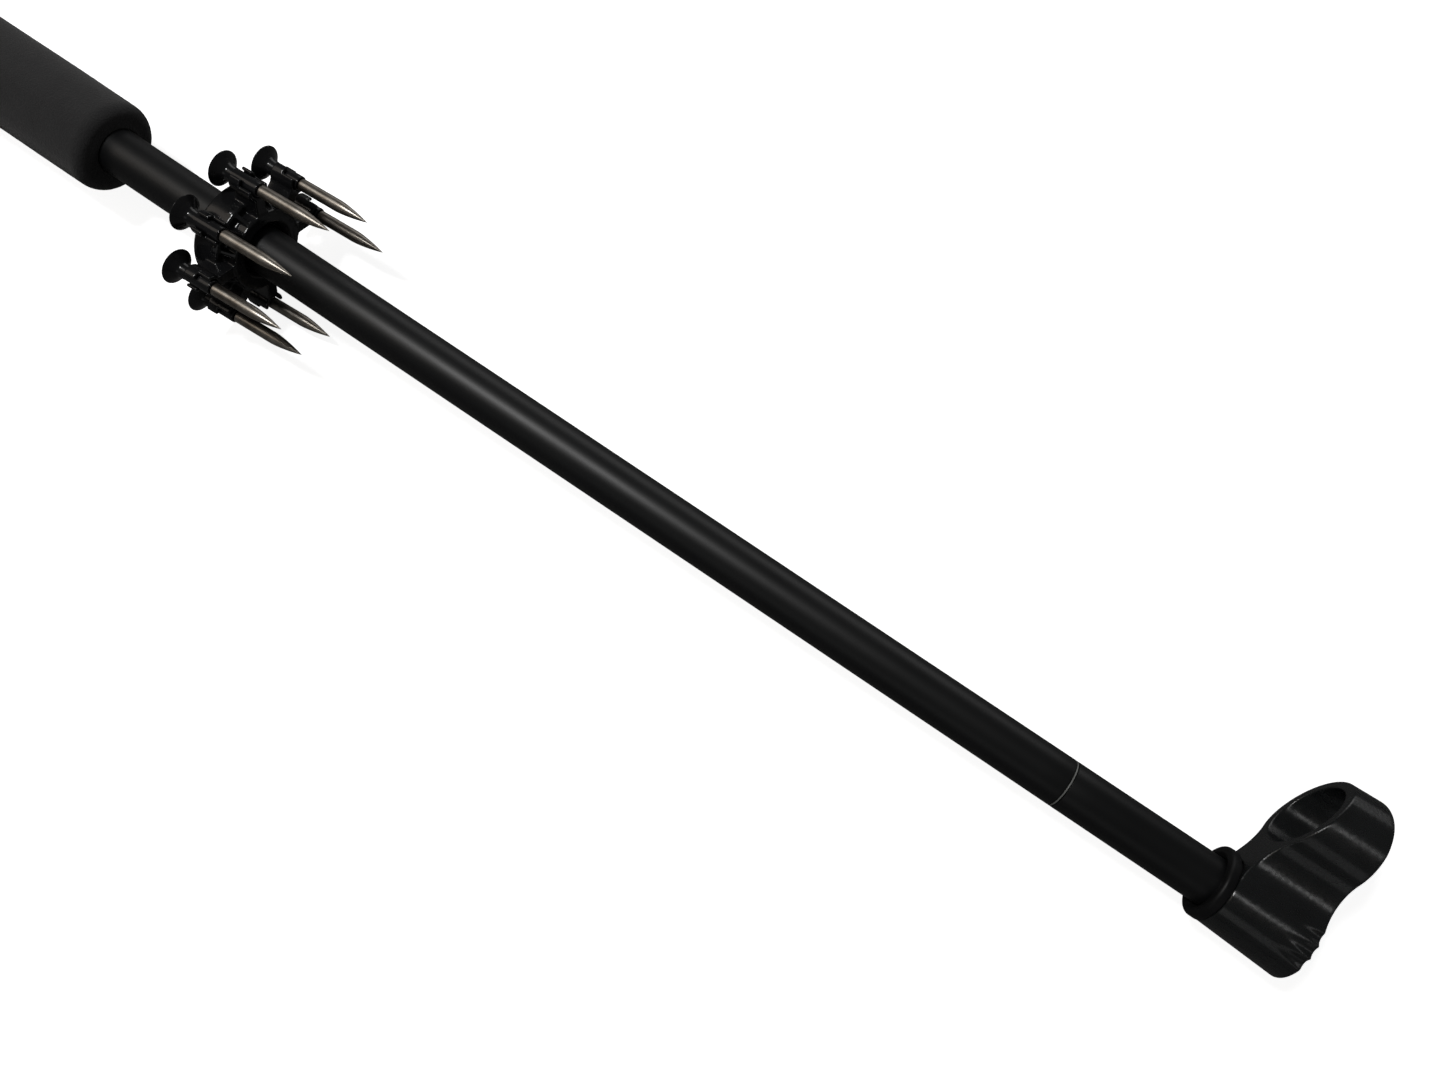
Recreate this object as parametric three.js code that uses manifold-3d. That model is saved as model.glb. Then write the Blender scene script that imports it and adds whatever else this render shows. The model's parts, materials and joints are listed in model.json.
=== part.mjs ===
// A take-down blowgun: an aluminium barrel in three sections, a foam grip, a push-on mouthpiece,
// a clip-on quiver with eight spike darts, a muzzle guard and a printed muzzle holder with a side ring.
// Millimetres, +Z up, +X towards the muzzle. Stations are distances along the barrel from the
// mouthpiece end. The part's origin is the bottom centre of its bounding box.
import * as THREE from 'three';
import { mergeVertices } from 'three/addons/utils/BufferGeometryUtils.js';
import Module from 'manifold-3d';

const wasm = await Module();
wasm.setup();

// Whole object
const LENGTH = 610;
const GAP = 0.3;

// Barrel
const BARREL_RADIUS = 8;
const BORE_RADIUS = 6.35;
const BARREL_REAR = 14;
const COVERED_JOINT = 213;
const SEAM = 529.5;
const SEAM_RING_LENGTH = 0.4;
const SPIGOT_RADIUS = 7;
const SPIGOT_LENGTH = 12;

// Foam grip
const GRIP_REAR = 38.3;
const GRIP_FRONT = 158.3;
const GRIP_RADIUS = 16;
const GRIP_ROUNDING = 4.5;

// Mouthpiece
const MOUTHPIECE_LENGTH = 36;
const MOUTHPIECE_RIM_RADIUS = 14.5;
const MOUTHPIECE_SLEEVE_RADIUS = 11;
const MOUTH_RADIUS = 9.5;
const SEAL_STATION = 27;
const SEAL_TUBE_RADIUS = 0.5;

// Quiver
const QUIVER_STATION = 216.2;
const QUIVER_LEAN_SIDE = THREE.MathUtils.degToRad(2.53);
const QUIVER_LEAN_UP = THREE.MathUtils.degToRad(1.52);
const QUIVER_BORE_RADIUS = 8.8;
const DRUM_RADIUS = 17.5;
const DRUM_REAR = -8.1;
const DRUM_FRONT = 1.5;
const COLLAR_RADIUS = 14.5;
const COLLAR_FRONT = 6.2;
const CLIP_REAR = -2.6;
const CRADLE_FRONT = 5.9;
const CRADLE_LIP = 0.4;
const CLIP_WALL = 1.1;
const CLIP_MOUTH_HALF = THREE.MathUtils.degToRad(52);
const CLIP_STEM_WIDTH = 4.2;
const RIB_THICKNESS = 1.6;

// Darts
const DART_COUNT = 8;
const DART_CIRCLE_RADIUS = 24.4;
const DART_FIRST_ANGLE = THREE.MathUtils.degToRad(22.5);
const SHANK_RADIUS = 2.5;
const CONE_RADIUS = 6.05;
const CONE_RIM = -8.6;
const CONE_DEPTH = 4.2;
const SHANK_FRONT = 6.5;
const SPIKE_RADIUS = 2.05;
const SPIKE_TIP = 33.3;
const SPIKE_POINT_LENGTH = 11;
const TANG_RADIUS = 1.2;
const TANG_LENGTH = 8;
const LOOSE_DART = 4;
const LOOSE_DART_SETBACK = 3.6;

// Muzzle guard
const GUARD_RADIUS = 11.9;
const GUARD_REAR = 579.4;
const GUARD_FLANGE_FRONT = 582.6;
const GUARD_SLEEVE_RADIUS = 10;
const GUARD_FRONT = 608.5;
const GUARD_LIP = 1.5;
const GUARD_LIP_RADIUS = 6.7;

// Muzzle holder: a socket round the barrel and a ring beside it, joined by a waisted neck
const HOLDER_ROLL = THREE.MathUtils.degToRad(75.1);
const SOCKET_REAR_RADIUS = 11.7;
const SOCKET_FRONT_RADIUS = 13.1;
const RING_DISTANCE = 32.3;
const RING_REAR_RADIUS = 14.4;
const RING_FRONT_RADIUS = 15.4;
const RING_BORE_RADIUS = 12;
const NECK_FILLET_RADIUS = 14;
const HOLDER_CHAMFER = 0.8;
const HOLDER_SLANT = 0.345;
const SLANT_START = 5.5;
const GROOVES_PER_SIDE = 3;
const GROOVE_PITCH = THREE.MathUtils.degToRad(19.5);
const GROOVE_RADIUS = 2.5;
const GROOVE_DEPTH = 1.15;
const GROOVE_LENGTH = 17;

const material = (color, roughness, metalness) =>
  new THREE.MeshStandardMaterial({ color, roughness, metalness });
const ANODISED = material(0x101113, 0.42, 0.6);
const BARE_METAL = material(0xb9bbb8, 0.35, 1);
const FOAM = material(0x202022, 0.95, 0);
const GLOSS_PLASTIC = material(0x0c0c0e, 0.18, 0);
const RUBBER = material(0x161617, 0.6, 0);
const PRINTED_PLASTIC = material(0x131416, 0.38, 0);
const STEEL = material(0x7d7974, 0.25, 1);

// ---------------------------------------------------------------- geometry helpers

// A solid of revolution about the X axis; points are [station, radius], outside first, rear to front,
// then back along the inside. The outline closes on itself unless it starts and ends on the axis.
function revolve(points, segments) {
  const outline = points.map(([station, radius]) => new THREE.Vector2(radius, station));
  const onAxis = points[0][1] === 0;
  if (!onAxis) outline.push(outline[0].clone());
  return new THREE.LatheGeometry(outline, segments).rotateZ(-Math.PI / 2);
}

// Points of an arc in the [station, radius] plane; angles are in degrees from the +X direction.
function arc(station, radius, size, from, to, steps) {
  return Array.from({ length: steps + 1 }, (_, i) => {
    const angle = THREE.MathUtils.degToRad(from + ((to - from) * i) / steps);
    return [station + size * Math.cos(angle), radius + size * Math.sin(angle)];
  });
}

function solid(geometry) {
  const bare = geometry.index ? geometry.toNonIndexed() : geometry.clone();
  bare.deleteAttribute('normal');
  bare.deleteAttribute('uv');
  const merged = mergeVertices(bare, 1e-4);
  return new wasm.Manifold(
    new wasm.Mesh({
      numProp: 3,
      vertProperties: merged.attributes.position.array,
      triVerts: new Uint32Array(merged.index.array),
    }),
  );
}

function geometryOf(manifold) {
  const mesh = manifold.getMesh();
  const geometry = new THREE.BufferGeometry();
  geometry.setAttribute('position', new THREE.BufferAttribute(mesh.vertProperties, 3));
  geometry.setIndex(new THREE.BufferAttribute(mesh.triVerts, 1));
  return geometry;
}

const union = (parts) => parts.reduce((whole, part) => whole.add(part));
const subtract = (whole, cuts) => cuts.reduce((rest, cut) => rest.subtract(cut), whole);

// An outline in the plane across the barrel (first coordinate to the side, second up), pushed along X.
function extrudeAlong(shape, from, to, curveSegments = 12) {
  const options = { depth: to - from, bevelEnabled: false, curveSegments };
  const turned = new THREE.Matrix4().makeBasis(
    new THREE.Vector3(0, 1, 0),
    new THREE.Vector3(0, 0, 1),
    new THREE.Vector3(1, 0, 0),
  );
  return new THREE.ExtrudeGeometry(shape, options).applyMatrix4(turned).translate(from, 0, 0);
}

const cylinder = (from, to, radius, segments) =>
  revolve([[from, 0], [from, radius], [to, radius], [to, 0]], segments);

const tube = (from, to, outer, inner, segments) =>
  revolve([[from, outer], [to, outer], [to, inner], [from, inner]], segments);

function named(name, geometry, meshMaterial) {
  const mesh = new THREE.Mesh(geometry, meshMaterial.clone());
  mesh.name = name;
  return mesh;
}

// ---------------------------------------------------------------- barrel

// A barrel section between two stations, with the spigot behind it and the socket inside its front
// end where it has them.
function barrelSection(name, rear, front, spigotRear = rear, socketEnd = front) {
  const points = [];
  if (spigotRear < rear) points.push([spigotRear, SPIGOT_RADIUS], [rear, SPIGOT_RADIUS]);
  points.push([rear, BARREL_RADIUS], [front, BARREL_RADIUS]);
  if (socketEnd < front) points.push([front, SPIGOT_RADIUS + GAP], [socketEnd, SPIGOT_RADIUS + GAP]);
  points.push([socketEnd, BORE_RADIUS], [spigotRear, BORE_RADIUS]);
  return named(name, revolve(points, 32), ANODISED);
}

// The three sections: the first joint is inside the quiver, and the second has a bright ring.
function barrel() {
  const mainFront = SEAM - SEAM_RING_LENGTH / 2 - GAP;
  const frontRear = SEAM + SEAM_RING_LENGTH / 2 + GAP;
  const frontEnd = GUARD_FRONT - GUARD_LIP - GAP;
  const coveredSpigot = COVERED_JOINT - SPIGOT_LENGTH;
  const seamSpigot = mainFront - SPIGOT_LENGTH;
  return [
    barrelSection('rear_barrel', BARREL_REAR, COVERED_JOINT, BARREL_REAR, coveredSpigot - GAP),
    barrelSection('main_barrel', COVERED_JOINT + GAP, mainFront, coveredSpigot, seamSpigot - GAP),
    barrelSection('front_barrel', frontRear, frontEnd, seamSpigot),
  ];
}

function seamRing() {
  const half = SEAM_RING_LENGTH / 2;
  const geometry = tube(SEAM - half, SEAM + half, BARREL_RADIUS, SPIGOT_RADIUS + GAP, 32);
  return named('seam_ring', geometry, BARE_METAL);
}

// ---------------------------------------------------------------- grip and mouthpiece

function foamGrip() {
  const centreRadius = GRIP_RADIUS - GRIP_ROUNDING;
  const bore = BARREL_RADIUS + GAP;
  const points = [
    [GRIP_REAR, bore],
    ...arc(GRIP_REAR + GRIP_ROUNDING, centreRadius, GRIP_ROUNDING, 180, 90, 4),
    ...arc(GRIP_FRONT - GRIP_ROUNDING, centreRadius, GRIP_ROUNDING, 90, 0, 4),
    [GRIP_FRONT, bore],
  ];
  return named('foam_grip', revolve(points, 28), FOAM);
}

function mouthpiece() {
  const bore = BARREL_RADIUS + GAP;
  const grooveHalf = SEAL_TUBE_RADIUS + GAP;
  const grooveRadius = bore + 2 * SEAL_TUBE_RADIUS + GAP;
  const shoulder = BARREL_REAR - GAP;
  const points = [
    ...arc(2, MOUTHPIECE_RIM_RADIUS - 2, 2, 180, 60, 4),
    [7, MOUTHPIECE_SLEEVE_RADIUS + 1.2],
    [12, MOUTHPIECE_SLEEVE_RADIUS],
    ...arc(MOUTHPIECE_LENGTH - 1.5, MOUTHPIECE_SLEEVE_RADIUS - 1.5, 1.5, 90, 0, 3),
    [MOUTHPIECE_LENGTH, bore],
    [SEAL_STATION + grooveHalf, bore],
    [SEAL_STATION + grooveHalf, grooveRadius],
    [SEAL_STATION - grooveHalf, grooveRadius],
    [SEAL_STATION - grooveHalf, bore],
    [shoulder, bore],
    [shoulder, BORE_RADIUS],
    [8, BORE_RADIUS + 0.6],
    [2.5, MOUTH_RADIUS - 1],
    [0, MOUTH_RADIUS],
  ];
  return named('mouthpiece', revolve(points, 28), GLOSS_PLASTIC);
}

function mouthpieceSeal() {
  const centre = BARREL_RADIUS + GAP + SEAL_TUBE_RADIUS;
  const points = arc(SEAL_STATION, centre, SEAL_TUBE_RADIUS, 180, -120, 5);
  return named('mouthpiece_seal', revolve(points, 28), RUBBER);
}

// ---------------------------------------------------------------- quiver and darts

const dartAngle = (index) => DART_FIRST_ANGLE + (index * 2 * Math.PI) / DART_COUNT;

// A frame whose +Z points away from the quiver's axis at a dart's angle, at the dart's own axis.
function dartStation(index) {
  const angle = dartAngle(index);
  const station = new THREE.Group();
  station.rotation.x = -angle;
  station.position.set(
    0,
    DART_CIRCLE_RADIUS * Math.sin(angle),
    DART_CIRCLE_RADIUS * Math.cos(angle),
  );
  station.updateMatrix();
  return station;
}

// A C-shaped spring clip, open away from the quiver's axis, with rounded lips.
function clipOutline() {
  const inner = SHANK_RADIUS + GAP;
  const outer = inner + CLIP_WALL;
  const lip = CLIP_WALL / 2;
  const middle = inner + lip;
  const right = Math.PI / 2 - CLIP_MOUTH_HALF;
  const left = Math.PI / 2 + CLIP_MOUTH_HALF;
  const shape = new THREE.Shape();
  shape.absarc(0, 0, outer, right, left, true);
  shape.absarc(middle * Math.cos(left), middle * Math.sin(left), lip, left, left - Math.PI, true);
  shape.absarc(0, 0, inner, left, right, false);
  shape.absarc(middle * Math.cos(right), middle * Math.sin(right), lip, right + Math.PI, right, true);
  return shape;
}

// A clip over the drum and, in front of it, a lower cradle, both on a stem that stands on the hub.
function clipSolid(index) {
  const length = CRADLE_FRONT - CLIP_REAR;
  const clip = solid(extrudeAlong(clipOutline(), CLIP_REAR, CRADLE_FRONT, 5));
  const lips = new THREE.BoxGeometry(length, 4 * SHANK_RADIUS, 2 * SHANK_RADIUS);
  lips.translate(DRUM_FRONT + length / 2, 0, CRADLE_LIP + SHANK_RADIUS);
  const stemTop = -(SHANK_RADIUS + GAP + CLIP_WALL / 2);
  const stemBase = COLLAR_RADIUS - 1 - DART_CIRCLE_RADIUS;
  const stem = new THREE.BoxGeometry(length, CLIP_STEM_WIDTH, stemTop - stemBase);
  stem.translate(CLIP_REAR + length / 2, 0, (stemTop + stemBase) / 2);
  const body = clip.subtract(solid(lips)).add(solid(stem));
  return body.transform(dartStation(index).matrix.elements);
}

// A rib that braces the front collar against the drum, midway between two clips.
function ribSolid(index) {
  const outline = new THREE.Shape();
  outline.moveTo(DRUM_FRONT - 1, QUIVER_BORE_RADIUS + 1);
  outline.lineTo(COLLAR_FRONT - 0.6, QUIVER_BORE_RADIUS + 1);
  outline.lineTo(COLLAR_FRONT - 0.6, COLLAR_RADIUS + 0.4);
  outline.lineTo(DRUM_FRONT - 1, DRUM_RADIUS - 0.5);
  const options = { depth: RIB_THICKNESS, bevelEnabled: false };
  const plate = new THREE.ExtrudeGeometry(outline, options);
  plate.translate(0, 0, -RIB_THICKNESS / 2).rotateX(Math.PI / 2);
  plate.rotateX(-dartAngle(index));
  return solid(plate);
}

function quiverBody() {
  const drum = [
    ...arc(DRUM_REAR + 0.8, DRUM_RADIUS - 0.8, 0.8, 180, 90, 2),
    ...arc(DRUM_FRONT - 0.8, DRUM_RADIUS - 0.8, 0.8, 90, 0, 2),
    [DRUM_FRONT, COLLAR_RADIUS],
    ...arc(COLLAR_FRONT - 0.6, COLLAR_RADIUS - 0.6, 0.6, 90, 0, 2),
    [COLLAR_FRONT, QUIVER_BORE_RADIUS + 1.6],
    [COLLAR_FRONT - 1.6, QUIVER_BORE_RADIUS],
    [DRUM_REAR, QUIVER_BORE_RADIUS],
  ];
  const indexes = [...Array(DART_COUNT).keys()];
  const ribs = indexes.map((index) => ribSolid(index + 0.5));
  const whole = union([solid(revolve(drum, 40)), ...indexes.map(clipSolid), ...ribs]);
  return named('quiver_body', geometryOf(whole), GLOSS_PLASTIC);
}

// The moulded tail: a thin flared cone and a shank with a blind hole for the spike's tang.
function dartTail(index) {
  const apex = CONE_RIM + CONE_DEPTH;
  const wall = 0.5;
  const hole = TANG_RADIUS + GAP;
  const holeEnd = SHANK_FRONT - TANG_LENGTH - GAP;
  const points = [
    [apex - 1.6, 0],
    [apex - 2.2, 1.2],
    [CONE_RIM + 0.9, 3.9],
    [CONE_RIM, CONE_RADIUS - wall / 2],
    [CONE_RIM + wall, CONE_RADIUS],
    [CONE_RIM + 1.3, CONE_RADIUS - 1.3],
    [CONE_RIM + 2.6, 3.2],
    [apex, SHANK_RADIUS],
    [SHANK_FRONT, SHANK_RADIUS],
    [SHANK_FRONT, hole],
    [holeEnd, hole],
    [holeEnd, 0],
  ];
  return named(`dart_${index + 1}_tail`, revolve(points, 18), GLOSS_PLASTIC);
}

function dartSpike(index) {
  const shoulder = SHANK_FRONT + GAP;
  const pointStart = SPIKE_TIP - SPIKE_POINT_LENGTH;
  const tangEnd = SHANK_FRONT - TANG_LENGTH;
  const taper = (share) => [
    pointStart + SPIKE_POINT_LENGTH * share,
    SPIKE_RADIUS * (1 - share) ** 0.8,
  ];
  const points = [
    [tangEnd, 0],
    [tangEnd, TANG_RADIUS],
    [shoulder, TANG_RADIUS],
    [shoulder, SPIKE_RADIUS - 0.7],
    [shoulder + 0.6, SPIKE_RADIUS],
    ...[0, 0.2, 0.45, 0.7, 0.9, 1].map(taper),
  ];
  return named(`dart_${index + 1}_spike`, revolve(points, 14), STEEL);
}

// The quiver leans a little on the barrel, and one dart sits less deep in its clip than the others.
function quiver() {
  const group = new THREE.Group();
  group.position.x = QUIVER_STATION;
  group.rotation.set(0, -QUIVER_LEAN_UP, QUIVER_LEAN_SIDE);
  group.add(quiverBody());
  for (let index = 0; index < DART_COUNT; index += 1) {
    const station = dartStation(index);
    station.position.x = index === LOOSE_DART ? -LOOSE_DART_SETBACK : 0;
    station.add(dartTail(index), dartSpike(index));
    group.add(station);
  }
  return group;
}

// ---------------------------------------------------------------- muzzle guard and holder

function muzzleGuard() {
  const bore = BARREL_RADIUS + GAP;
  const lipRear = GUARD_FRONT - GUARD_LIP;
  const points = [
    [GUARD_REAR + 2.2, bore],
    [GUARD_REAR + 0.6, bore + 0.5],
    ...arc(GUARD_REAR + 2.6, GUARD_RADIUS - 2.6, 2.6, 170, 90, 5),
    [GUARD_FLANGE_FRONT, GUARD_RADIUS],
    [GUARD_FLANGE_FRONT, GUARD_SLEEVE_RADIUS],
    [GUARD_FRONT, GUARD_SLEEVE_RADIUS],
    [GUARD_FRONT, GUARD_LIP_RADIUS],
    [lipRear, GUARD_LIP_RADIUS],
    [lipRear, bore],
  ];
  return named('muzzle_guard', revolve(points, 32), RUBBER);
}

// The figure-of-eight outline across the holder, as [side, up] points: socket arc, ring arc and a
// hollow fillet each side. The inset shrinks it evenly.
function holderOutline(socketRadius, ringRadius, inset) {
  const fillet = NECK_FILLET_RADIUS + inset;
  const reachSocket = socketRadius + NECK_FILLET_RADIUS;
  const reachRing = ringRadius + NECK_FILLET_RADIUS;
  const along = (RING_DISTANCE ** 2 + reachSocket ** 2 - reachRing ** 2) / (2 * RING_DISTANCE);
  const aside = Math.sqrt(reachSocket ** 2 - along ** 2);
  const socketTurn = THREE.MathUtils.radToDeg(Math.atan2(aside, along));
  const ringTurn = THREE.MathUtils.radToDeg(Math.atan2(aside, RING_DISTANCE - along));
  const arcs = [
    arc(0, 0, socketRadius - inset, 90 + socketTurn, 450 - socketTurn, 30),
    arc(aside, along, fillet, 270 - socketTurn, 90 + ringTurn, 8),
    arc(0, RING_DISTANCE, ringRadius - inset, ringTurn - 90, 270 - ringTurn, 36),
    arc(-aside, along, fillet, 90 - ringTurn, socketTurn - 90, 8),
  ];
  return arcs.flatMap((points) => points.slice(0, -1));
}

// A solid through matching outlines of [side, up] points at increasing stations.
function loft(stations, outlines) {
  const count = outlines[0].length;
  const positions = outlines.flatMap((outline, level) =>
    outline.flatMap(([side, up]) => [stations[level], side, up]),
  );
  const faces = [];
  for (let near = 0; near < (outlines.length - 1) * count; near += count) {
    for (let i = 0; i < count; i += 1) {
      const next = (i + 1) % count;
      faces.push(near + i, near + next, near + count + i);
      faces.push(near + next, near + count + next, near + count + i);
    }
  }
  const front = (outlines.length - 1) * count;
  const flat = outlines[0].map(([side, up]) => new THREE.Vector2(side, up));
  for (const [a, b, c] of THREE.ShapeUtils.triangulateShape(flat, [])) {
    faces.push(a, c, b);
    faces.push(front + a, front + b, front + c);
  }
  const geometry = new THREE.BufferGeometry();
  geometry.setAttribute('position', new THREE.Float32BufferAttribute(positions, 3));
  return geometry.setIndex(faces);
}

// The holder before its bores are cut: it grows towards the muzzle and ends in a small chamfer.
function holderBlank() {
  const stations = [GUARD_FLANGE_FRONT + GAP, LENGTH - HOLDER_CHAMFER, LENGTH];
  const outlines = [
    holderOutline(SOCKET_REAR_RADIUS, RING_REAR_RADIUS, 0),
    holderOutline(SOCKET_FRONT_RADIUS, RING_FRONT_RADIUS, 0),
    holderOutline(SOCKET_FRONT_RADIUS, RING_FRONT_RADIUS, HOLDER_CHAMFER),
  ];
  return solid(loft(stations, outlines));
}

// The rear face: square across the barrel at the socket, slanting forward towards the ring.
function rearTrim() {
  const rear = GUARD_FLANGE_FRONT + GAP;
  const reach = RING_DISTANCE + RING_FRONT_RADIUS + 5;
  const outline = new THREE.Shape();
  outline.moveTo(rear - 5, 0);
  outline.lineTo(rear - 5, reach);
  outline.lineTo(rear + HOLDER_SLANT * (reach - SLANT_START), reach);
  outline.lineTo(rear - HOLDER_SLANT * SLANT_START, 0);
  const wedge = new THREE.ExtrudeGeometry(outline, { depth: 60, bevelEnabled: false });
  return solid(wedge.translate(0, 0, -30).rotateX(Math.PI / 2));
}

// One finger groove of the socket, deepest at the muzzle and running out towards the rear.
function groove(angle) {
  const rearRise = GROOVE_DEPTH + 0.5;
  const length = GROOVE_LENGTH + 6;
  const cutter = cylinder(-length, 4, GROOVE_RADIUS, 20);
  cutter.rotateY(Math.atan(rearRise / GROOVE_LENGTH));
  cutter.translate(LENGTH, 0, SOCKET_FRONT_RADIUS + GROOVE_RADIUS - GROOVE_DEPTH);
  cutter.rotateX(-angle);
  return solid(cutter);
}

function muzzleHolder() {
  const socketBore = cylinder(GUARD_REAR, LENGTH + 1, GUARD_SLEEVE_RADIUS + GAP, 48);
  const ringBore = cylinder(GUARD_REAR, LENGTH + 1, RING_BORE_RADIUS, 48).translate(0, 0, RING_DISTANCE);
  const grooves = [];
  for (let side = -1; side <= 1; side += 2) {
    for (let count = 0; count < GROOVES_PER_SIDE; count += 1) {
      const fromMiddle = count - (GROOVES_PER_SIDE - 1) / 2;
      grooves.push(groove(side * (Math.PI / 2 + fromMiddle * GROOVE_PITCH)));
    }
  }
  const cuts = [rearTrim(), solid(socketBore), solid(ringBore), ...grooves];
  const mesh = named('muzzle_holder', geometryOf(subtract(holderBlank(), cuts)), PRINTED_PLASTIC);
  mesh.rotation.x = -HOLDER_ROLL;
  return mesh;
}

// ---------------------------------------------------------------- assembly

const assembly = new THREE.Group();
assembly.add(...barrel(), seamRing(), foamGrip(), mouthpiece(), mouthpieceSeal());
assembly.add(quiver(), muzzleGuard(), muzzleHolder());
assembly.updateMatrixWorld(true);

const extent = new THREE.Box3().setFromObject(assembly, true);
const middle = extent.getCenter(new THREE.Vector3());
assembly.position.set(-middle.x, -middle.y, -extent.min.z);

const blowgun = new THREE.Group();
blowgun.add(assembly);

export default blowgun;
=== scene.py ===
"""A take-down blowgun on a pale floor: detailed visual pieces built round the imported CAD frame.

Local lengths are in millimetres along and round the barrel's, the quiver's or a dart's own axis;
every mesh is written in metres in the CAD's own frame.
"""
import json
import math

import bpy
import numpy as np
from mathutils import Matrix, Vector


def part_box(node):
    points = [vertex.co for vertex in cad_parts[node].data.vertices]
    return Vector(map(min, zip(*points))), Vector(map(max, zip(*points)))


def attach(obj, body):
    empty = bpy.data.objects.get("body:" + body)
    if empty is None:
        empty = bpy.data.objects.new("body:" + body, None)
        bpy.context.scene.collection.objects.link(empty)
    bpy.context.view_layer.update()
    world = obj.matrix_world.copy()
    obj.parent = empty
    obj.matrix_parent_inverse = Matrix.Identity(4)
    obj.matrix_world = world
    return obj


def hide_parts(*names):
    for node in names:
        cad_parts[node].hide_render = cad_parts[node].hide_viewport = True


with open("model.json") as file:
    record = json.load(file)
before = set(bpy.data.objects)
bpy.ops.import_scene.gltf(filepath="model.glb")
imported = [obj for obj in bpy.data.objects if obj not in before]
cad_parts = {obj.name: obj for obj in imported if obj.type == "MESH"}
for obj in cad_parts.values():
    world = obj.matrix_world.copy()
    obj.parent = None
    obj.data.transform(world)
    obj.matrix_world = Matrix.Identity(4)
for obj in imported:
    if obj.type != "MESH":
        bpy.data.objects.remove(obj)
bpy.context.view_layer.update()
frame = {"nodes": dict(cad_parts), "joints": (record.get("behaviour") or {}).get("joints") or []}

MM = 0.001
JOINTS = {joint["name"]: joint for joint in frame["joints"]}

# ------------------------------------------------------------------ dimensions, in mm

GAP = 0.3  # the clearance between two pieces

# The barrel. Stations along it count forwards from the rear face of the mouthpiece.
LENGTH = 610.0
BARREL_REAR = 14.0
BARREL_RADIUS = 8.0
BORE_RADIUS = 6.35
SPIGOT_RADIUS = 7.0
SPIGOT_LENGTH = 12.0

# The foam grip. Long and short waves make its surface slightly uneven, inside the CAD solid.
FOAM_FIT = 0.05
FOAM_ROUNDING = 4.5
FOAM_BORE_ROUNDING = 0.3
FOAM_STEP = 0.7
FOAM_SEGMENTS = 176
FOAM_WAVES = ((40.0, 0.0267), (4.1, 0.004), (2.3, 0.004), (1.6, 0.004))  # (length, height)
FOAM_WAVES_PER_LENGTH = 7
FOAM_INSET = 0.12
FOAM_SEED = 7

# The mouthpiece and the ring that seals it on the barrel.
MOUTHPIECE_LENGTH = 36.0
MOUTHPIECE_RADIUS = 11.0
MOUTH_FLANGE_RADIUS = 14.5
MOUTH_FLANGE_FRONT = 5.2
MOUTH_CUP_RADIUS = 9.5
MOUTH_CUP_DEPTH = 8.0
SEAL_GROOVE_DEPTH = 1.3
SEAL_STEPS = 16

# A dart. Its own stations count forwards from a point inside its clip.
CONE_RIM = -8.6
CONE_RADIUS = 6.05
SHANK_RADIUS = 2.5
SHANK_FRONT = 6.5
SPIKE_RADIUS = 2.05
SPIKE_TIP = 33.3
SPIKE_POINT_LENGTH = 12.0
SPIKE_POINT_STEPS = 22
SPIKE_BELLY, SPIKE_TAPER = 1.55, 0.95  # the powers that shape the point
TANG_RADIUS = 1.2
TANG_LENGTH = 8.0
DART_COUNT = 8
DART_CIRCLE_RADIUS = 24.4

# The quiver: a drum and a collar on the barrel, a clip for each dart and ribs between the clips.
# An EDGE or ROUNDING softens an outer edge, and a FILLET fills an inner one.
DRUM_REAR, DRUM_FRONT, DRUM_RADIUS = -8.1, 1.5, 17.5
DRUM_ROUNDING = 0.8
COLLAR_FRONT, COLLAR_RADIUS = 6.2, 14.5
COLLAR_ROUNDING = 0.5
COLLAR_CHAMFER = 1.6
HUB_FILLET = 0.8
QUIVER_BORE_RADIUS = 8.8
QUIVER_BORE_EDGE = 0.3
ROOT_DEPTH = 2.0  # how deep clips and ribs root in the hub, and how far ribs stay from the bore
CLIP_REAR, CRADLE_FRONT = -2.6, 5.9
CLIP_WALL = 1.1
CLIP_MOUTH_HALF = math.radians(52)
CLIP_EDGE = 0.5
CLIP_REACH = 4.2
CRADLE_LIP = 0.4
CRADLE_FILLET = 0.25
STEM_WIDTH = 4.2
STEM_ROUNDING = 0.3
STEM_FILLET = 0.7
RIB_THICKNESS = 1.6
RIB_DROP = 0.7  # from the drum's radius to the rib's top at the drum
RIB_SLOPE = 0.55
RIB_SETBACK = 0.5
RIB_EDGE = 0.4
RIB_FILLET = 0.6
QUIVER_STEP = 0.28

# The guard on the muzzle and the holder that turns on its sleeve.
GUARD_REAR, GUARD_FLANGE_FRONT, GUARD_FRONT = 579.4, 582.6, 608.5
GUARD_RADIUS, GUARD_SLEEVE_RADIUS, GUARD_LIP_RADIUS = 11.9, 10.0, 6.7
GUARD_LIP = 1.5
GUARD_LEAD_IN_LENGTH, GUARD_LEAD_IN_RISE = 1.0, 1.2
SOCKET_REAR_RADIUS, SOCKET_FRONT_RADIUS = 11.7, 13.1
RING_REAR_RADIUS, RING_FRONT_RADIUS = 14.4, 15.4
RING_DISTANCE = 32.3
RING_BORE_RADIUS = 12.0
NECK_FILLET_RADIUS = 14.0
HOLDER_ROLL = math.radians(75.1)
HOLDER_SLANT = 0.345
SLANT_START = 5.5
SLANT_EDGE = 1.2
HOLDER_EDGE = 0.5
SOCKET_BORE_EDGE = 0.4
FRONT_EDGE = 0.9
RING_EDGE_GAIN = 2.2  # how much rounder the front edge gets towards the far side of the ring
RING_EDGE_START, RING_EDGE_REACH = 34, 12
GROOVES_PER_SIDE = 3
GROOVE_PITCH = math.radians(19.5)
GROOVE_RADIUS = 2.5
GROOVE_DEPTH = 1.15
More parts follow.
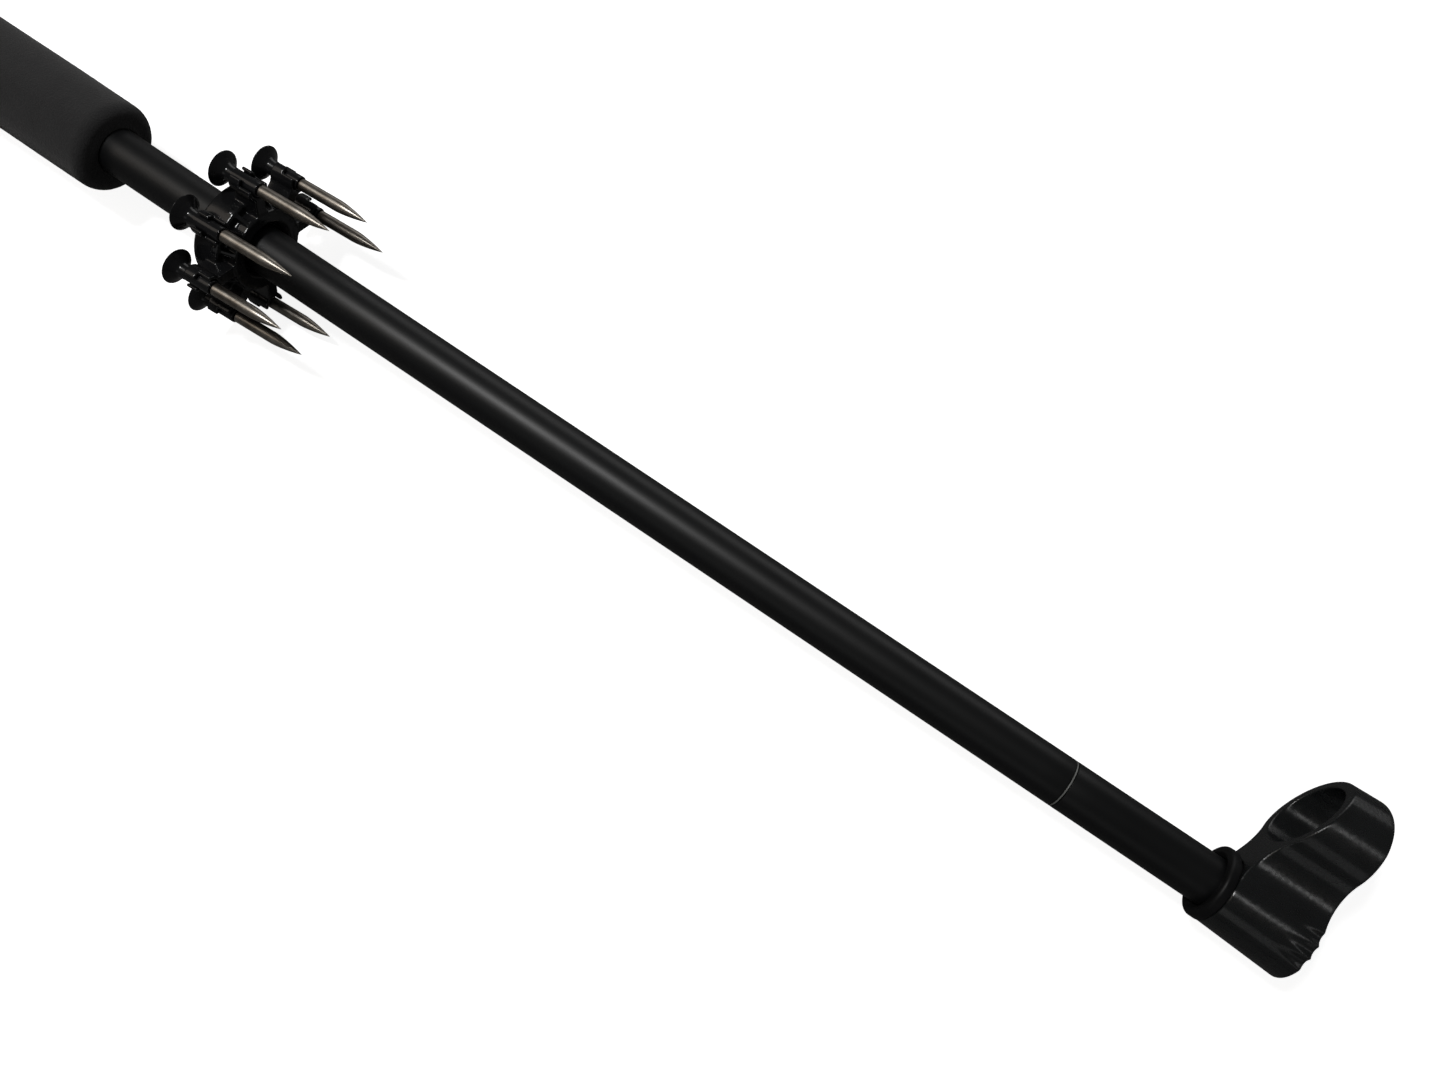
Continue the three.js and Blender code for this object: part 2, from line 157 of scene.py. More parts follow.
GROOVE_LENGTH = 17.0
GROOVE_RUN_OUT = 0.5
HOLDER_STEP = 0.312

SHARP_ANGLE = 38  # in degrees; turned pieces keep a crease where their faces turn by more

# ------------------------------------------------------------------ places, from the CAD frame


def middle(node):
    low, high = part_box(node)
    return (low + high) / 2


BARREL_CENTRE = middle("rear_barrel")
BARREL_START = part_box("rear_barrel")[0].x - BARREL_REAR * MM
BARREL_ORIGIN = Vector((BARREL_START, BARREL_CENTRE.y, BARREL_CENTRE.z))
BARREL_PLACE = Matrix.Translation(BARREL_ORIGIN)
HOLDER_PLACE = BARREL_PLACE @ Matrix.Rotation(-HOLDER_ROLL, 4, "X")


def node_points(name):
    return np.array([v.co for v in frame["nodes"][name].data.vertices], float)


def place_along(axis, up, origin):
    """A frame at origin with X along axis and Z as near to up as it can be."""
    x = Vector(axis).normalized()
    z = (Vector(up) - x * Vector(up).dot(x)).normalized()
    y = z.cross(x)
    place = Matrix((x, y, z)).transposed().to_4x4()
    place.translation = origin
    return place


def dart_places():
    """The quiver's frame and one for each dart, whose Z points away from the quiver's axis."""
    axis = -Vector(JOINTS["dart_1_pull"]["axis"]).normalized()
    on_axis = []
    for number in range(1, DART_COUNT + 1):
        points = node_points(f"dart_{number}_tail")
        rear = (points @ np.array(axis)).min()
        centre = Vector(points.mean(0))
        on_axis.append(centre + axis * (rear - CONE_RIM * MM - centre.dot(axis)))
    station = sorted(point.dot(axis) for point in on_axis)[DART_COUNT // 2]
    hub = sum((point - axis * point.dot(axis) for point in on_axis), Vector()) / DART_COUNT
    hub = hub + axis * station
    first = on_axis[0] - hub
    quiver = place_along(axis, first, hub)
    darts = []
    for point in on_axis:
        outward = point - hub
        darts.append(place_along(axis, outward, point))
    return quiver, darts


QUIVER_PLACE, DART_PLACES = dart_places()

# ------------------------------------------------------------------ mesh tools

ON_AXIS = 1e-6  # a radius below this, in mm, lies on the axis


def finish_mesh(name, mesh, place, body, nodes, material, sharp=None):
    """Turns a mesh in local mm into a piece in the CAD's frame that rides on a CAD body."""
    mesh.transform(place @ Matrix.Scale(MM, 4))
    mesh.update()
    mesh.shade_smooth()
    if sharp is not None:
        mesh.set_sharp_from_angle(angle=math.radians(sharp))
    mesh.materials.append(material)
    piece = bpy.data.objects.new(name, mesh)
    bpy.context.scene.collection.objects.link(piece)
    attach(piece, body)
    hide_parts(*nodes)


def rounded(corners, steps=6):
    """A closed outline through (x, r, fillet) corners, each rounded by its fillet radius."""
    outline = []
    count = len(corners)
    for index, (x, r, fillet) in enumerate(corners):
        here = np.array([x, r], float)
        before = np.array(corners[index - 1][:2], float) - here
        after = np.array(corners[(index + 1) % count][:2], float) - here
        before_length, after_length = np.linalg.norm(before), np.linalg.norm(after)
        before, after = before / before_length, after / after_length
        half = math.acos(max(-1.0, min(1.0, float(before @ after)))) / 2
        if fillet <= 0 or half > math.radians(89):
            outline.append(here)
            continue
        reach = min(fillet / math.tan(half), 0.49 * before_length, 0.49 * after_length)
        radius = reach * math.tan(half)
        centre = here + (before + after) / np.linalg.norm(before + after) * radius / math.sin(half)
        start, end = here + before * reach - centre, here + after * reach - centre
        sweep = math.acos(max(-1.0, min(1.0, float(start @ end) / radius**2)))
        for step in range(steps + 1):
            share = step / steps
            blend = math.sin((1 - share) * sweep) * start + math.sin(share * sweep) * end
            outline.append(centre + blend / math.sin(sweep))
    return outline


def spaced(outline, longest):
    """The closed outline with extra points, so that no step is longer than the given length."""
    points = []
    for index, here in enumerate(outline):
        after = outline[(index + 1) % len(outline)]
        steps = max(1, math.ceil(np.linalg.norm(after - here) / longest))
        if here[1] < ON_AXIS and after[1] < ON_AXIS:
            steps = 1
        points += [here + (after - here) * step / steps for step in range(steps)]
    return points


def turned_mesh(name, outline, segments):
    """A closed solid of revolution about X from a closed (x, r) outline.

    Points on the axis become poles.
    """
    vertices, rings = [], []
    angles = np.arange(segments) * 2 * math.pi / segments
    for x, r in outline:
        if r < ON_AXIS:
            rings.append([len(vertices)] * segments)
            vertices.append((x, 0.0, 0.0))
        else:
            rings.append(list(range(len(vertices), len(vertices) + segments)))
            vertices += [(x, r * math.cos(a), r * math.sin(a)) for a in angles]
    faces = []
    for index, ring in enumerate(rings):
        following = rings[(index + 1) % len(rings)]
        for i in range(segments):
            j = (i + 1) % segments
            face = [ring[i], ring[j], following[j], following[i]]
            face = [v for k, v in enumerate(face) if v != face[k - 1]]
            if len(face) > 2:
                faces.append(face)
    mesh = bpy.data.meshes.new(name)
    mesh.from_pydata(vertices, [], faces)
    mesh.update()
    if mesh_volume(mesh) < 0:
        mesh.flip_normals()
    return mesh


def mesh_volume(mesh):
    mesh.calc_loop_triangles()
    points = np.array([v.co for v in mesh.vertices], float)
    corners = np.array([t.vertices for t in mesh.loop_triangles], int)
    a, b, c = points[corners[:, 0]], points[corners[:, 1]], points[corners[:, 2]]
    return float(np.einsum("ij,ij->i", a, np.cross(b, c)).sum() / 6)


def turned(name, corners, place, body, nodes, slot, material, segments=128, steps=6, longest=8.0):
    """A piece turned about the X axis of its place from (x, r, fillet) corners."""
    mesh = turned_mesh(name, spaced(rounded(corners, steps), longest), segments)
    finish_mesh(name, mesh, place, body, nodes, material, sharp=SHARP_ANGLE)


# ------------------------------------------------------------------ distance fields


def smooth_min(a, b, k):
    """The lower of two distances, blended where they differ by less than k."""
    h = np.clip(0.5 + 0.5 * (b - a) / k, 0, 1)
    return b + (a - b) * h - k * h * (1 - h)


def smooth_max(a, b, k):
    return -smooth_min(-a, -b, k)


def rounded_box(along, across, centre, half, rounding):
    """Distance to a rounded rectangle in the (along, across) plane."""
    a = np.abs(along - centre[0]) - half[0] + rounding
    b = np.abs(across - centre[1]) - half[1] + rounding
    outside = np.hypot(np.maximum(a, 0), np.maximum(b, 0))
    return outside + np.minimum(np.maximum(a, b), 0) - rounding


def slab(along, low, high):
    """Distance to the layer between low and high."""
    return np.abs(along - (low + high) / 2) - (high - low) / 2


def field_net(field, low, high, step):
    """Vertices and quads of the surface where the field is zero, on a grid of the given step."""
    starts = [start - 1.5 * step for start in low]
    ends = [end + 1.6 * step for end in high]
    axes = [np.arange(start, end, step, dtype=np.float32) for start, end in zip(starts, ends)]
    values = field(*np.meshgrid(*axes, indexing="ij"))
    inside = values < 0
    shape = np.array(values.shape) - 1
    count = np.zeros(shape, np.int8)
    for i in (0, 1):
        for j in (0, 1):
            for k in (0, 1):
                count += inside[i : i + shape[0], j : j + shape[1], k : k + shape[2]]
    cells = np.argwhere((count > 0) & (count < 8))
    index = np.full(shape, -1, np.int64)
    index[tuple(cells.T)] = np.arange(len(cells))
    unit = np.eye(3, dtype=int)
    total, crossings = np.zeros((len(cells), 3)), np.zeros(len(cells))
    for a in range(3):
        b, c = unit[(a + 1) % 3], unit[(a + 2) % 3]
        for offset in (0 * b, b, c, b + c):
            start = cells + offset
            v0 = values[tuple(start.T)].astype(float)
            v1 = values[tuple((start + unit[a]).T)].astype(float)
            crossed = (v0 < 0) != (v1 < 0)
            share = v0[crossed] / (v0[crossed] - v1[crossed])
            total[crossed] += start[crossed] + share[:, None] * unit[a]
            crossings[crossed] += 1
    origin = np.array([axis[0] for axis in axes], float)
    vertices = origin + step * total / crossings[:, None]
    quads = []
    for a in range(3):
        b, c = unit[(a + 1) % 3], unit[(a + 2) % 3]
        first = np.take(inside, np.arange(inside.shape[a] - 1), axis=a)
        second = np.take(inside, np.arange(1, inside.shape[a]), axis=a)
        edges = np.argwhere(first != second)
        quad = np.stack([index[tuple((edges - o).T)] for o in (b + c, c, 0 * b, b)], 1)
        leaving = first[tuple(edges.T)]
        quads.append(np.where(leaving[:, None], quad, quad[:, ::-1]))
    return vertices, np.concatenate(quads)


def settle(points, field, step, rounds=2):
    """Moves points towards the surface where the field is zero, by at most 0.6 of a step a round."""
    small = 0.02
    for _ in range(rounds):
        value = field(*points.T)
        rises = [field(*(points + d).T) - field(*(points - d).T) for d in np.eye(3) * small]
        slope = np.stack(rises, 1) / (2 * small)
        size = np.maximum((slope**2).sum(1), 0.05)
        move = -slope * (value / size)[:, None]
        length = np.linalg.norm(move, axis=1, keepdims=True)
        points = points + move * np.minimum(1, 0.6 * step / np.maximum(length, 1e-9))
    return points


def relax(points, quads):
    """Moves each point half of the way to the middle of its neighbouring faces."""
    centres = points[quads].mean(1)
    total, count = np.zeros_like(points), np.zeros(len(points))
    for corner in range(4):
        np.add.at(total, quads[:, corner], centres)
        np.add.at(count, quads[:, corner], 1)
    return (points + total / count[:, None]) / 2


def field_mesh(name, field, low, high, step):
    """An even mesh of quads on the surface where the field is zero, in local mm."""
    points, quads = field_net(field, low, high, step)
    for _ in range(2):
        points = settle(relax(points, quads), field, step)
    points = settle(points, field, step)
    mesh = bpy.data.meshes.new(name)
    mesh.vertices.add(len(points))
    mesh.vertices.foreach_set("co", points.astype(np.float32).ravel())
    mesh.loops.add(quads.size)
    mesh.loops.foreach_set("vertex_index", quads.astype(np.int32).ravel())
    mesh.polygons.add(len(quads))
    mesh.polygons.foreach_set("loop_start", np.arange(0, quads.size, 4, dtype=np.int32))
    mesh.polygons.foreach_set("loop_total", np.full(len(quads), 4, np.int32))
    mesh.update(calc_edges=True)
    mesh.validate()
    return mesh


# ------------------------------------------------------------------ materials

NOISE_LOW, NOISE_HIGH = 0.3, 0.7  # the range that holds most of a noise's values
BAND_PERIOD = 0.314  # how far apart the bands of a band texture of scale 1 are, in metres
LAYER_HEIGHT = 0.0004  # of the print, in metres


class Shader:
    """A Principled material with helpers for procedural detail in object space, in metres."""

    def __init__(self, name, color, roughness, metallic=0.0, **sockets):
        self.material = bpy.data.materials.new(name)
        self.material.use_nodes = True
        self.material.diffuse_color = (*color, 1)
        self.tree = self.material.node_tree
        self.shader = self.tree.nodes["Principled BSDF"]
        self.shader.inputs["Base Color"].default_value = (*color, 1)
        self.shader.inputs["Roughness"].default_value = roughness
        self.shader.inputs["Metallic"].default_value = metallic
        for socket, value in sockets.items():
            self.shader.inputs[socket.replace("_", " ")].default_value = value
        self.place = self.node("ShaderNodeTexCoord").outputs["Object"]
        self.normal = None

    def node(self, kind, **settings):
        made = self.tree.nodes.new(kind)
        for key, value in settings.items():
            setattr(made, key, value)
        return made

    def link(self, source, target):
        self.tree.links.new(source, target)

    def scaled(self, scale):
        mapping = self.node("ShaderNodeMapping")
        mapping.inputs["Scale"].default_value = scale
        self.link(self.place, mapping.inputs["Vector"])
        return mapping.outputs["Vector"]

    def noise(self, scale, detail=3.0, roughness=0.5, vector=None):
        made = self.node("ShaderNodeTexNoise")
        made.inputs["Scale"].default_value = scale
        made.inputs["Detail"].default_value = detail
        made.inputs["Roughness"].default_value = roughness
        self.link(vector or self.place, made.inputs["Vector"])
        return made.outputs["Fac"]

    def cells(self, scale):
        made = self.node("ShaderNodeTexVoronoi", feature="F1")
        made.inputs["Scale"].default_value = scale
        self.link(self.place, made.inputs["Vector"])
        return made.outputs["Distance"]

    def bands(self, period, distortion):
        """Bands across X that repeat every period, in metres."""
        made = self.node("ShaderNodeTexWave", wave_type="BANDS", bands_direction="X")
        made.inputs["Scale"].default_value = BAND_PERIOD / period
        made.inputs["Distortion"].default_value = distortion
        made.inputs["Detail"].default_value = 1.0
        self.link(self.place, made.inputs["Vector"])
        return made.outputs["Fac"]

    def color(self, value, dark, light, high=NOISE_HIGH):
        """Drives the base colour from dark to light over the middle range of a noise."""
        ramp = self.node("ShaderNodeValToRGB")
        stops = [(NOISE_LOW, dark), (high, light)]
        for element, (position, color) in zip(ramp.color_ramp.elements, stops):
            element.position = position
            element.color = (*color, 1)
        self.link(value, ramp.inputs["Fac"])
        self.link(ramp.outputs["Color"], self.shader.inputs["Base Color"])

    def roughness(self, value, low, high):
        """Drives the roughness from low to high over the middle range of a noise."""
        made = self.node("ShaderNodeMapRange")
        made.inputs["From Min"].default_value = NOISE_LOW
        made.inputs["From Max"].default_value = NOISE_HIGH
        made.inputs["To Min"].default_value = low
        made.inputs["To Max"].default_value = high
        self.link(value, made.inputs["Value"])
        self.link(made.outputs["Result"], self.shader.inputs["Roughness"])

    def bump(self, value, strength, distance):
        made = self.node("ShaderNodeBump")
        made.inputs["Strength"].default_value = strength
        made.inputs["Distance"].default_value = distance
        self.link(value, made.inputs["Height"])
        if self.normal:
            self.link(self.normal, made.inputs["Normal"])
        self.normal = made.outputs["Normal"]
        self.link(self.normal, self.shader.inputs["Normal"])


def anodised():
    look = Shader("black_anodised", (0.004, 0.0044, 0.005), 0.48, Specular_IOR_Level=0.5)
    drawn = look.noise(900, 2, 0.5, look.scaled((0.02, 1, 1)))
    cloud = look.noise(22, 4, 0.6)
    look.color(cloud, (0.0035, 0.0039, 0.0045), (0.0052, 0.0056, 0.0062))
    look.roughness(cloud, 0.40, 0.45)
    look.bump(drawn, 0.12, 0.00004)
    look.bump(look.noise(2600, 2, 0.5), 0.10, 0.00003)
    return look.material


def bare_metal():
    look = Shader("bare_metal_edge", (0.36, 0.37, 0.36), 0.5, 0.6)
    look.color(look.noise(300, 3), (0.30, 0.31, 0.30), (0.42, 0.43, 0.42))
    look.bump(look.noise(1500, 2, 0.5, look.scaled((4, 1, 1))), 0.2, 0.00003)
    return look.material


def foam():
    sheen = {"Sheen_Weight": 0.15, "Sheen_Roughness": 0.6}
    look = Shader("foam_rubber", (0.02, 0.02, 0.021), 0.92, Specular_IOR_Level=0.25, **sheen)
    pores = look.cells(1900)
    blotch = look.noise(160, 4, 0.65)
    look.color(blotch, (0.025, 0.025, 0.026), (0.035, 0.035, 0.036), high=0.72)
    look.roughness(blotch, 0.86, 0.96)
    look.bump(pores, 0.55, 0.00022)
    look.bump(look.noise(900, 4, 0.7), 0.5, 0.00025)
    return look.material


def gloss_plastic():
    look = Shader("gloss_plastic", (0.009, 0.0094, 0.0105), 0.18, Specular_IOR_Level=0.5)
    flow = look.noise(120, 4, 0.6)
    look.color(flow, (0.0075, 0.0079, 0.009), (0.0125, 0.0129, 0.014))
    look.roughness(flow, 0.14, 0.24)
    look.bump(look.noise(420, 2, 0.5), 0.10, 0.00012)
    return look.material


def soft_plastic():
    look = Shader("soft_vinyl", (0.004, 0.0042, 0.005), 0.5, Specular_IOR_Level=0.3)
    cloud = look.noise(90, 4, 0.6)
    look.color(cloud, (0.0035, 0.0037, 0.0043), (0.006, 0.0062, 0.0068))
    look.roughness(cloud, 0.42, 0.56)
    look.bump(look.noise(1100, 3, 0.6), 0.2, 0.00006)
    return look.material


def seal_rubber():
    look = Shader("seal_rubber", (0.01, 0.01, 0.01), 0.6)
    look.color(look.noise(500, 3), (0.008, 0.008, 0.008), (0.015, 0.015, 0.015))
    look.bump(look.noise(2500, 3), 0.3, 0.00005)
    return look.material


def printed_plastic():
    """Plastic printed in layers across X, whose highlights stretch into long lines along it."""
    gloss = {"Specular_IOR_Level": 0.9, "Anisotropic": 1.0}
    look = Shader("printed_plastic", (0.009, 0.0102, 0.011), 0.3, **gloss)
    along = look.node("ShaderNodeCombineXYZ")
    along.inputs["X"].default_value = 1.0
    look.link(along.outputs["Vector"], look.shader.inputs["Tangent"])
    cloud = look.noise(140, 4, 0.6)
    look.color(cloud, (0.0075, 0.0086, 0.0092), (0.0125, 0.0142, 0.015))
    look.roughness(look.noise(700, 3, 0.6), 0.22, 0.32)
    look.bump(look.bands(LAYER_HEIGHT, 0.6), 0.35, 0.00005)
    look.bump(look.noise(900, 3, 0.6), 0.25, 0.00008)
    return look.material


def steel():
    look = Shader("drawn_steel", (0.50, 0.47, 0.42), 0.2, 1.0)
    cloud = look.noise(260, 4, 0.65)
    look.color(cloud, (0.27, 0.24, 0.205), (0.49, 0.46, 0.415), high=0.72)
    look.roughness(look.noise(900, 3, 0.6, look.scaled((0.15, 1, 1))), 0.31, 0.42)
    look.bump(look.noise(1600, 2, 0.5, look.scaled((0.08, 1, 1))), 0.08, 0.00004)
    return look.material


ANODISED = anodised()
BARE_METAL = bare_metal()
FOAM = foam()
GLOSS = gloss_plastic()
VINYL = soft_plastic()
SEAL = seal_rubber()
PRINTED = printed_plastic()
STEEL = steel()

# ------------------------------------------------------------------ barrel, grip and mouthpiece


def span(node):
    """A node's first and last station along the barrel, in mm."""
    low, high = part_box(node)
    return (low.x - BARREL_ORIGIN.x) / MM, (high.x - BARREL_ORIGIN.x) / MM


def rear_barrel():
    rear, front = span("rear_barrel")
    socket = SPIGOT_RADIUS + GAP
    socket_end = front - SPIGOT_LENGTH - GAP
    corners = [
        (rear, BARREL_RADIUS, 0.25),
        (front, BARREL_RADIUS, 0.12),
        (front, socket, 0.1),
        (socket_end, socket, 0.1),
        (socket_end, BORE_RADIUS, 0.1),
        (rear, BORE_RADIUS, 0.25),
    ]
    name, nodes = "rear_barrel_tube", ["rear_barrel"]
    turned(name, corners, BARREL_PLACE, "barrel", nodes, "anodised", ANODISED)


def main_barrel():
    rear, front = span("main_barrel")
    shoulder = span("rear_barrel")[1] + GAP
    socket = SPIGOT_RADIUS + GAP
    socket_end = front - SPIGOT_LENGTH - GAP
    corners = [
        (rear, SPIGOT_RADIUS, 0.2),
        (shoulder, SPIGOT_RADIUS, 0.1),
        (shoulder, BARREL_RADIUS, 0.12),
        (front, BARREL_RADIUS, 0.12),
        (front, socket, 0.1),
        (socket_end, socket, 0.1),
        (socket_end, BORE_RADIUS, 0.1),
        (rear, BORE_RADIUS, 0.15),
    ]
    name, nodes = "main_barrel_tube", ["main_barrel"]
    turned(name, corners, BARREL_PLACE, "barrel", nodes, "anodised", ANODISED)


def seam_ring():
    rear, front = span("seam_ring")
    inner = SPIGOT_RADIUS + GAP
    corners = [
        (rear, BARREL_RADIUS, 0.08),
        (front, BARREL_RADIUS, 0.08),
        (front, inner, 0.05),
        (rear, inner, 0.05),
    ]
    turned("seam_washer", corners, BARREL_PLACE, "barrel", ["seam_ring"], "bare_metal", BARE_METAL)


def front_barrel():
    rear, front = span("front_barrel")
    shoulder = span("seam_ring")[1] + GAP
    corners = [
        (rear, SPIGOT_RADIUS, 0.2),
        (shoulder, SPIGOT_RADIUS, 0.1),
        (shoulder, BARREL_RADIUS, 0.12),
        (front, BARREL_RADIUS, 0.25),
        (front, BORE_RADIUS, 0.25),
        (rear, BORE_RADIUS, 0.15),
    ]
    name, nodes = "front_barrel_tube", ["front_barrel"]
    turned(name, corners, BARREL_PLACE, "muzzle_section", nodes, "anodised", ANODISED)


def foam_grip():
    """A sleeve with rounded ends, whose outer surface is set in a little and uneven."""
    low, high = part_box("foam_grip")
    rear, front = span("foam_grip")
    radius, bore = (high.z - low.z) / 2 / MM, BARREL_RADIUS + FOAM_FIT
    corners = [
        (rear, bore, FOAM_BORE_ROUNDING),
        (rear, radius, FOAM_ROUNDING),
        (front, radius, FOAM_ROUNDING),
        (front, bore, FOAM_BORE_ROUNDING),
    ]
    outline = spaced(rounded(corners, 10), FOAM_STEP)
    mesh = turned_mesh("foam_grip_sleeve", outline, FOAM_SEGMENTS)
    points = np.array([v.co for v in mesh.vertices], float)
    normals = np.array([v.normal for v in mesh.vertices], float)
    waves = np.random.default_rng(FOAM_SEED)
    height = np.zeros(len(points))
    for length, wave_height in FOAM_WAVES:
        for _ in range(FOAM_WAVES_PER_LENGTH):
            direction = waves.normal(size=3)
            direction *= 2 * math.pi / length / np.linalg.norm(direction)
            height += wave_height * np.sin(points @ direction + waves.uniform(0, 2 * math.pi))
    inner = np.hypot(points[:, 1], points[:, 2]) < bore + 1
    height[inner] = 0
    points += normals * (height - FOAM_INSET)[:, None] * ~inner[:, None]
    mesh.vertices.foreach_set("co", points.astype(np.float32).ravel())
    finish_mesh("foam_grip_sleeve", mesh, BARREL_PLACE, "barrel", ["foam_grip"], FOAM)


def mouthpiece():
    bore = BARREL_RADIUS + GAP
    seal_rear, seal_front = span("mouthpiece_seal")
    groove_rear, groove_front = seal_rear - GAP, seal_front + GAP
    groove = bore + SEAL_GROOVE_DEPTH
    corners = [
        (0, MOUTH_CUP_RADIUS, 0.4),
        (0, MOUTH_FLANGE_RADIUS, 2.0),
        (MOUTH_FLANGE_FRONT, MOUTH_FLANGE_RADIUS, 2.4),
        (MOUTH_FLANGE_FRONT + 2.4, MOUTHPIECE_RADIUS + 0.6, 2.0),
        (BARREL_REAR, MOUTHPIECE_RADIUS, 3.0),
        (MOUTHPIECE_LENGTH, MOUTHPIECE_RADIUS, 1.4),
        (MOUTHPIECE_LENGTH, bore, 0.3),
        (groove_front, bore, 0.1),
        (groove_front, groove, 0.1),
        (groove_rear, groove, 0.1),
        (groove_rear, bore, 0.1),
        (BARREL_REAR - GAP, bore, 0.1),
        (BARREL_REAR - GAP, BORE_RADIUS, 0.2),
        (MOUTH_CUP_DEPTH, BORE_RADIUS + 0.3, 3.0),
    ]
    name, body = "mouthpiece_cup", "mouthpiece"
    turned(name, corners, BARREL_PLACE, body, ["mouthpiece"], "gloss_plastic", GLOSS)
    tube = (seal_front - seal_rear) / 2
    centre = np.array([(seal_front + seal_rear) / 2, bore + tube])
    ring = []
    for angle in np.arange(SEAL_STEPS) * 2 * math.pi / SEAL_STEPS:
        ring.append(centre + tube * np.array([math.cos(angle), math.sin(angle)]))
    name = "mouthpiece_o_ring"
    mesh = turned_mesh(name, ring, 96)
    finish_mesh(name, mesh, BARREL_PLACE, body, ["mouthpiece_seal"], SEAL)


# ------------------------------------------------------------------ quiver and darts


def clip_field(x, side, up):
    """A spring clip on its stem, in a dart's own frame: side is across and up is outwards."""
    inner = SHANK_RADIUS + GAP
    middle_radius = inner + CLIP_WALL / 2
    reach = np.hypot(side, up)
    ring = np.abs(reach - middle_radius) - CLIP_WALL / 2
    lip_side = middle_radius * math.sin(CLIP_MOUTH_HALF)
    lip_up = middle_radius * math.cos(CLIP_MOUTH_HALF)
    lip = np.hypot(np.abs(side) - lip_side, up - lip_up) - CLIP_WALL / 2
    in_mouth = np.abs(np.arctan2(side, up)) < CLIP_MOUTH_HALF
    arc = np.where(in_mouth, lip, ring)
    lips = smooth_max(arc, slab(x, CLIP_REAR, DRUM_FRONT), CLIP_EDGE)
    cradle = smooth_max(arc, slab(x, CLIP_REAR, CRADLE_FRONT), CLIP_EDGE)
    cradle = smooth_max(cradle, up - CRADLE_LIP, CLIP_EDGE)
    top = -(inner + CLIP_WALL / 2)
    base = COLLAR_RADIUS - ROOT_DEPTH - DART_CIRCLE_RADIUS
    stem_half = (STEM_WIDTH / 2, (top - base) / 2)
    stem = rounded_box(side, up, (0, (top + base) / 2), stem_half, STEM_ROUNDING)
    stem = smooth_max(stem, slab(x, CLIP_REAR, CRADLE_FRONT), CLIP_EDGE)
    clip = smooth_min(smooth_min(lips, cradle, CRADLE_FILLET), stem, STEM_FILLET)
    return np.maximum(clip, inner - reach)


def quiver_field(x, y, z):
    """The quiver's body, with x along its axis."""
    radius = np.hypot(y, z)
    sector = 2 * math.pi / DART_COUNT
    angle = np.arctan2(y, z)
    off_dart = (angle + sector / 2) % sector - sector / 2
    off_rib = angle % sector - sector / 2
    drum_centre = ((DRUM_REAR + DRUM_FRONT) / 2, 0)
    drum_half = ((DRUM_FRONT - DRUM_REAR) / 2, DRUM_RADIUS)
    drum = rounded_box(x, radius, drum_centre, drum_half, DRUM_ROUNDING)
    collar_half = (COLLAR_FRONT / 2, COLLAR_RADIUS)
    collar = rounded_box(x, radius, (COLLAR_FRONT / 2, 0), collar_half, COLLAR_ROUNDING)
    hub = smooth_min(drum, collar, HUB_FILLET)
    clip = clip_field(x, radius * np.sin(off_dart), radius * np.cos(off_dart) - DART_CIRCLE_RADIUS)
    across, out = radius * np.sin(off_rib), radius * np.cos(off_rib)
    above = out - DRUM_RADIUS + RIB_DROP + (x - DRUM_FRONT) * RIB_SLOPE
    rib_side = np.abs(across) - RIB_THICKNESS / 2
    rib = smooth_max(rib_side, above / math.hypot(1, RIB_SLOPE), RIB_EDGE)
    rib = smooth_max(rib, slab(x, DRUM_FRONT - ROOT_DEPTH, COLLAR_FRONT - RIB_SETBACK), RIB_EDGE)
    rib = np.maximum(rib, QUIVER_BORE_RADIUS + ROOT_DEPTH - out)
    body = smooth_min(smooth_min(hub, clip, HUB_FILLET), rib, RIB_FILLET)
    chamfer = (QUIVER_BORE_RADIUS + COLLAR_CHAMFER - radius - (COLLAR_FRONT - x)) / math.sqrt(2)
    body = smooth_max(body, chamfer, QUIVER_BORE_EDGE)
    return smooth_max(body, QUIVER_BORE_RADIUS - radius, QUIVER_BORE_EDGE)


def quiver_body():
    reach = DART_CIRCLE_RADIUS + CLIP_REACH
    low, high = (DRUM_REAR, -reach, -reach), (COLLAR_FRONT, reach, reach)
    name, nodes = "quiver_hub_and_clips", ["quiver_body"]
    mesh = field_mesh(name, quiver_field, low, high, QUIVER_STEP)
    finish_mesh(name, mesh, QUIVER_PLACE, "quiver", nodes, GLOSS)


